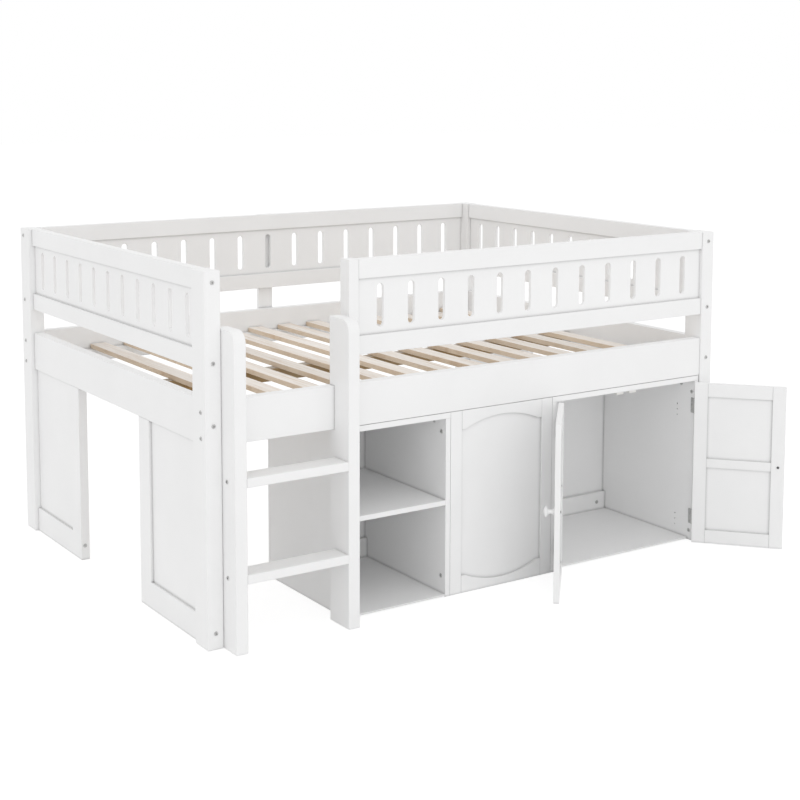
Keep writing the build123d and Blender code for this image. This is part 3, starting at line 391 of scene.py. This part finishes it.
def turnedSurface(origin, axis, distances, radii):
    # point = origin + axis * distance + radius * (side * cos + other * sin), where side and other are square to the
    # axis; radii is (rows, columns), with a row for each distance and a column for each angle
    side = np.cross(axis, (0, 0, 1) if abs(axis[2]) < 0.9 else (1, 0, 0))
    side /= np.linalg.norm(side)
    other = np.cross(axis, side)
    angles = np.linspace(0, 2 * math.pi, radii.shape[1], endpoint=False)
    ring = np.cos(angles)[:, None] * side + np.sin(angles)[:, None] * other
    return origin + distances[:, None, None] * axis + radii[:, :, None] * ring[None], True


# Socket-head bolts: a low domed head, a hexagonal socket with a bevelled mouth, and a plain shank, in mm. The dome is
# (share of the head's radius, share of its height); points beyond headShare of the radius belong to the head.
boltValues = {"sides": 24, "socketRadius": 2.8, "socketDepth": 4.4, "mouthBevel": 0.4, "headShare": 0.8,
              "dome": ((0.70, 1.0), (0.84, 0.93), (0.94, 0.74), (0.99, 0.45), (1.0, 0.12), (1.0, 0.0)),
              "sharpAngle": 40}


def boltSurface(solid):
    # rows run from the socket's floor up its six flats, over the dome and down the shank;
    # radius of the flats = socketRadius * cos(30) / cos(angle folded into -30..30)
    low, high = solid.min(axis=0), solid.max(axis=0)
    along = int(np.argmax(high - low))
    origin = boxMiddle(solid)
    reach = np.abs(np.delete(solid - origin, along, axis=1)).max(axis=1)
    headRadius = reach.max()
    headPlaces = solid[reach > headRadius * boltValues["headShare"], along]
    pointsUp = abs(headPlaces.max() - high[along]) < levelWithin
    base, tip = (headPlaces.min(), low[along]) if pointsUp else (headPlaces.max(), high[along])
    headHeight = np.ptp(headPlaces)
    shankRadius = reach[np.abs(solid[:, along] - tip) < levelWithin].max()
    origin[along] = base
    axis = np.zeros(3)
    axis[along] = 1 if pointsUp else -1
    sector = math.pi / 3
    angles = np.linspace(0, 2 * math.pi, boltValues["sides"], endpoint=False)
    folded = (angles + sector / 2) % sector - sector / 2
    flats = metres(boltValues["socketRadius"]) * math.cos(sector / 2) / np.cos(folded)
    bevel = metres(boltValues["mouthBevel"])
    socketFloor, shankEnd = headHeight - metres(boltValues["socketDepth"]), -abs(base - tip)
    ones = np.ones(boltValues["sides"])
    rows = [(socketFloor, ones * 0), (socketFloor, flats), (headHeight - bevel, flats), (headHeight, flats + bevel)]
    rows += [(headHeight * height, ones * headRadius * share) for share, height in boltValues["dome"]]
    rows += [(0, ones * shankRadius), (shankEnd, ones * shankRadius), (shankEnd, ones * 0)]
    distances, radii = zip(*rows)
    return turnedSurface(origin, axis, np.array(distances), np.array(radii))


for node in ("frame_bolts", "ladder_bolts", "cabinet_bolts"):
    surfaces = [boltSurface(solid) for solid in solidsOf(node)]
    makePiece(node + "_turned", surfaces, steel, "bed", node, boltValues["sharpAngle"])
print("bolts turned")

openTurns = {"left": -131.8, "right": 131.8}  # degrees that each door stands open at rest

# Mushroom knobs, turned from beech: (distance from the door, radius) in mm
knobValues = {"sides": 56, "sharpAngle": 50,
              "profile": ((0, 0), (0, 10.4), (0.5, 11), (1.8, 11), (2.6, 10.6), (3.4, 9.2), (5.0, 7.9), (8.0, 7.0),
                          (12.0, 6.6), (16.0, 6.9), (19.0, 8.0), (21.4, 10.2), (23.2, 13.4), (24.6, 16.2),
                          (25.8, 17.4), (27.0, 17.7), (28.2, 17.2), (29.6, 15.9), (31.0, 14.0), (32.4, 11.4),
                          (33.5, 8.4), (34.2, 4.6), (34.5, 0))}
for side, turn in openTurns.items():
    # surface of revolution of the profile about the door's outward normal through the middle of the knob's foot
    outward = np.array((math.sin(math.radians(turn)), -math.cos(math.radians(turn)), 0))
    points = meshPoints(nodes[side + "_door_knob"].data)
    depths = points @ outward
    foot = points[depths < depths.min() + 2 * levelWithin]
    profile = metres(np.array(knobValues["profile"]))
    radii = np.repeat(profile[:, 1:], knobValues["sides"], axis=1)
    surface = turnedSurface(boxMiddle(foot), outward, profile[:, 0], radii)
    makePiece(side + "_knob_turned", [surface], knobLacquer, side + "_door", side + "_door_knob",
              knobValues["sharpAngle"])
print("knobs turned")

# Slotted panels: a plate whose round-ended slots have softly eased edges, in mm. The easing passes through the point
# that lies easingBend of its width from both faces, and a row holdShare of its width away holds the flat faces flat
# in the shading. Each panel has its number of slots and the first one's distance from the end.
slotValues = {"width": 24.0, "height": 132.0, "easing": 1.0, "easingBend": 0.3, "holdShare": 0.5,
              "arcSteps": 8, "riseSteps": 9, "sharpAngle": 50,
              "panels": {"slotted_panel_front": (12, 83.25, lacquerAlongX),
                         "slotted_panel_back": (15, 92.0, lacquerAlongX),
                         "slotted_panel_left": (11, 72.5, lacquerAlongY),
                         "slotted_panel_right": (11, 72.5, lacquerAlongY)}}


def slotOutline(grow):
    # from 45 degrees below the slot's right side: right side, top arc, left side and bottom arc, grown by "grow";
    # arc point = arc's middle + radius * (cos, sin)
    radius = metres(slotValues["width"]) / 2 + grow
    straight = metres(slotValues["height"] - slotValues["width"]) / 2
    halfRise = (slotValues["riseSteps"] + 1) // 2
    eighth = math.pi / 4
    arc = np.linspace(eighth, 3 * eighth, slotValues["arcSteps"] + 1)
    top = np.stack([radius * np.cos(arc), straight + radius * np.sin(arc)], axis=1)
    lower, upper = np.linspace(-eighth, 0, halfRise), np.linspace(0, eighth, halfRise)
    right = np.concatenate([np.stack([radius * np.cos(lower), radius * np.sin(lower) - straight], axis=1),
                            np.stack([radius * np.cos(upper), radius * np.sin(upper) + straight], axis=1)])
    return np.concatenate([right[:-1], top[:-1], -right[:-1], -top[:-1]])


def cellOutline(leftReach, rightReach, halfHeight):
    # the rectangle round one slot, with as many points on each side as the slot's outline has, evenly spaced
    rise = np.linspace(-halfHeight, halfHeight, slotValues["riseSteps"] + 1)
    run = np.linspace(rightReach, -leftReach, slotValues["arcSteps"] + 1)
    right = np.stack([np.full_like(rise, rightReach), rise], axis=1)
    top = np.stack([run, np.full_like(run, halfHeight)], axis=1)
    left = np.stack([np.full_like(rise, -leftReach), -rise], axis=1)
    bottom = np.stack([run[::-1], np.full_like(run, -halfHeight)], axis=1)
    return np.concatenate([right[:-1], top[:-1], left[:-1], bottom[:-1]])


def slottedPlate(node, count, setback):
    # each slot's cell is a ring: rectangle, eased slot edge and half the slot's wall, then the same mirrored to the
    # back; strips along the rectangle's outer sides close the plate's edges
    low, high = (np.array(corner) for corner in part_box(node))
    size = high - low
    along, across = (0, 1) if size[0] > size[1] else (1, 0)
    halfHeight = size[2] / 2
    pitch = (size[along] - 2 * setback) / (count - 1)
    easing = metres(slotValues["easing"])
    bend, hold = easing * slotValues["easingBend"], easing * slotValues["holdShare"]
    rise, arc = slotValues["riseSteps"], slotValues["arcSteps"]
    grids = []
    for index in range(count):
        first, last = index == 0, index == count - 1
        cell = cellOutline(setback if first else pitch / 2, setback if last else pitch / 2, halfHeight)
        rows = [(cell, 0), (slotOutline(easing + hold), 0), (slotOutline(easing), 0), (slotOutline(bend), bend),
                (slotOutline(0), easing), (slotOutline(0), easing + hold)]
        rows += [(outline, size[across] - depth) for outline, depth in reversed(rows)]
        outlines = np.array([outline for outline, depth in rows])
        ring = np.empty(outlines.shape[:2] + (3,))
        ring[:, :, along] = low[along] + setback + index * pitch + outlines[:, :, 0]
        ring[:, :, across] = low[across] + np.array([depth for outline, depth in rows])[:, None]
        ring[:, :, 2] = low[2] + halfHeight + outlines[:, :, 1]
        grids.append((ring, True))
        rim = ring[[0, -1]]
        closed = np.concatenate([rim, rim[:, :1]], axis=1)
        grids.append((closed[:, rise:rise + arc + 1], False))
        grids.append((closed[:, 2 * rise + arc:], False))
        if first:
            grids.append((closed[:, rise + arc:2 * rise + arc + 1], False))
        if last:
            grids.append((closed[:, :rise + 1], False))
    return grids


for node, (count, setback, material) in slotValues["panels"].items():
    plate = slottedPlate(node, count, metres(setback))
    makePiece(node + "_routed", plate, material, "bed", node, slotValues["sharpAngle"])
print("slotted panels routed")

# Cross-recessed screws, in mm: three flush ones at each level of a hinge leaf, zigzag about its middle, and a low pan
# head behind each knob. The shares are of the head's radius or of its height.
screwValues = {"sides": 24, "armAngle": 16, "armShare": 0.62, "waistShare": 0.22, "recessTaper": 0.8,
               "crownShare": 0.78, "shoulderShare": 0.95, "shoulderHeight": 0.6}
leafValues = {"radius": 2.3, "proud": 0.1, "recess": 0.08, "sink": 0.3, "face": 0.15, "middle": 10.8,
              "levels": (88.0, 488.0), "spread": 16.0, "stagger": 2.2, "pinRadius": 3.0}
panValues = {"radius": 4.2, "proud": 0.9, "seat": 0.2, "sink": 1.0}


def screwSurface(origin, axis, radius, height, recess, sink):
    # a low dome with a cross recess, whose radius is armShare of the head's within armAngle of each of its four arms
    # and waistShare between them
    angles = np.arange(screwValues["sides"]) * 360 / screwValues["sides"]
    fromArm = np.abs((angles + 45) % 90 - 45)
    inArm = fromArm < screwValues["armAngle"]
    cross = radius * np.where(inArm, screwValues["armShare"], screwValues["waistShare"])
    ones = np.ones(screwValues["sides"])
    rows = ((height - recess, ones * 0), (height - recess, cross * screwValues["recessTaper"]), (height, cross),
            (height, ones * radius * screwValues["crownShare"]),
            (height * screwValues["shoulderHeight"], ones * radius * screwValues["shoulderShare"]),
            (0, ones * radius), (-sink, ones * radius), (-sink, ones * 0))
    distances, radii = zip(*rows)
    return turnedSurface(origin, axis, np.array(distances), np.array(radii))


def turnedAbout(points, pin, degrees):
    # about the vertical line through the pin: x' = x cos - y sin and y' = x sin + y cos, measured from the pin
    cosine, sine = math.cos(math.radians(degrees)), math.sin(math.radians(degrees))
    x, y = points[:, 0] - pin[0], points[:, 1] - pin[1]
    return np.stack([x * cosine - y * sine + pin[0], x * sine + y * cosine + pin[1], points[:, 2]], axis=1)


def leafPlaces(pin):
    # on the plane through the pin and square to the front: up = level + k * spread and
    # back = middle + stagger * (2 k^2 - 1), for k = -1, 0, 1 at each level
    level, k = (grid.ravel() for grid in np.meshgrid(leafValues["levels"], (-1, 0, 1), indexing="ij"))
    back = leafValues["middle"] + leafValues["stagger"] * (2 * k ** 2 - 1)
    up = level + k * leafValues["spread"]
    return np.stack([np.full(len(k), pin[0]), pin[1] + metres(back), metres(up)], axis=1)


leafPoints = meshPoints(nodes["hinge_fixed_leaves"].data)
leavesMiddle = boxMiddle(leafPoints)[0]
leafScrew = [metres(leafValues[key]) for key in ("radius", "proud", "recess", "sink")]
radius, proud, seat, sink = (metres(panValues[key]) for key in ("radius", "proud", "seat", "sink"))
fixedScrews = []
for side, turn in openTurns.items():
    toward = -1 if side == "left" else 1  # along X, from the door to the board that carries it
    ownPoints = leafPoints[(leafPoints[:, 0] - leavesMiddle) * toward > 0]
    pin = ownPoints[:, :2].min(axis=0) + metres(leafValues["pinRadius"])
    places = leafPlaces(pin)
    toBoard = np.array((toward, 0.0, 0.0))
    toFace = toBoard * metres(leafValues["face"])
    fixedScrews += [screwSurface(place, -toBoard, *leafScrew) for place in places + toFace]
    outward = turnedAbout(toBoard[None], (0, 0), turn)[0]
    doorScrews = [screwSurface(place, outward, *leafScrew) for place in turnedAbout(places - toFace, pin, turn)]
    makePiece(side + "_door_screws", doorScrews, steel, side + "_door")
    knobScrew = min(solidsOf(side + "_door_hardware"), key=lambda solid: np.ptp(solid[:, 2]))
    inward = turnedAbout(np.array([[0.0, 1.0, 0.0]]), (0, 0), turn)[0]
    depths = knobScrew @ inward
    head = boxMiddle(knobScrew[depths > depths.max() - levelWithin])
    panHead = screwSurface(head - inward * seat, inward, radius, proud + seat, proud, sink)
    makePiece(side + "_knob_screw", [panHead], darkSteel, side + "_door")
makePiece("hinge_leaf_screws", fixedScrews, steel, "bed")
print("screws made")

# A pale floor, a white world and three soft boxes, in metres and watts. The low one fills the open bays, and leaves
# no glint on the bolt heads.
studio = {"floor": "#FAFAFA", "shadowFloor": "#9C9C9C", "floorGlow": 0.8, "floorReach": 30.0, "floorLevel": -0.0008,
          "white": (1, 1, 1, 1), "worldLight": 0.88, "aim": (0.95, 0.6, 0.5),
          "lamps": {"keyLamp": {"place": (-2.8, -5.6, 4.0), "size": 3.5, "power": 22, "glint": True},
                    "fillLamp": {"place": (1.2, -3.0, 5.0), "size": 3.0, "power": 9, "glint": True},
                    "lowLamp": {"place": (0.8, -4.8, 0.9), "size": 2.4, "power": 7, "glint": False}}}


def seenDirectly(tree):
    # 1 for the rays by which the background is seen: from the camera, in a reflection or through glass
    path = addNode(tree, "ShaderNodeLightPath")
    seen = addNode(tree, "ShaderNodeMath", {"operation": "MAXIMUM"},
                   links={0: path.outputs["Is Camera Ray"], 1: path.outputs["Is Glossy Ray"]})
    seen = addNode(tree, "ShaderNodeMath", {"operation": "MAXIMUM"},
                   links={0: seen.outputs["Value"], 1: path.outputs["Is Transmission Ray"]})
    return seen.outputs["Value"]


corners = [(x * studio["floorReach"], y * studio["floorReach"], studio["floorLevel"])
           for x, y in ((-1, -1), (1, -1), (1, 1), (-1, 1))]
floorMesh = bpy.data.meshes.new("studioFloor")
floorMesh.from_pydata(corners, [], [(0, 1, 2, 3)])
floor = bpy.data.objects.new("studioFloor", floorMesh)
bpy.context.scene.collection.objects.link(floor)
# The eye gets a white floor with a faint shadow: a glow just under white, and a little of the light that falls there.
floorMaterial, tree = newMaterial("pale_studio_floor")
matt = addNode(tree, "ShaderNodeBsdfDiffuse", inputs={"Color": linearColour(studio["floor"])})
faint = addNode(tree, "ShaderNodeBsdfDiffuse", inputs={"Color": linearColour(studio["shadowFloor"])})
glow = addNode(tree, "ShaderNodeEmission", inputs={"Color": studio["white"], "Strength": studio["floorGlow"]})
white = addNode(tree, "ShaderNodeAddShader", links={0: faint.outputs["BSDF"], 1: glow.outputs["Emission"]})
blend = addNode(tree, "ShaderNodeMixShader",
                links={0: seenDirectly(tree), 1: matt.outputs["BSDF"], 2: white.outputs["Shader"]})
addNode(tree, "ShaderNodeOutputMaterial", links={"Surface": blend.outputs["Shader"]})
floorMesh.materials.append(floorMaterial)

world = bpy.data.worlds.new("softStudio")
bpy.context.scene.world = world
world.use_nodes = True
tree = world.node_tree
tree.nodes.clear()
strength = addNode(tree, "ShaderNodeMapRange", inputs={"To Min": studio["worldLight"], "To Max": 1.0},
                   links={"Value": seenDirectly(tree)})
sky = addNode(tree, "ShaderNodeBackground", inputs={"Color": studio["white"]},
              links={"Strength": strength.outputs["Result"]})
addNode(tree, "ShaderNodeOutputWorld", links={"Surface": sky.outputs["Background"]})

for name, values in studio["lamps"].items():
    # a square area lamp aimed at the middle of the bed
    data = bpy.data.lights.new(name, "AREA")
    data.shape = "SQUARE"
    data.size = values["size"]
    data.energy = values["power"]
    lamp = bpy.data.objects.new(name, data)
    lamp.location = values["place"]
    x, y, z = np.array(studio["aim"]) - np.array(values["place"])
    lamp.rotation_euler = (math.atan2(math.hypot(x, y), -z), 0, math.atan2(y, x) - math.pi / 2)
    lamp.visible_glossy = values["glint"]
    bpy.context.scene.collection.objects.link(lamp)
bpy.context.scene.view_settings.view_transform = "Standard"
print("studio lit")
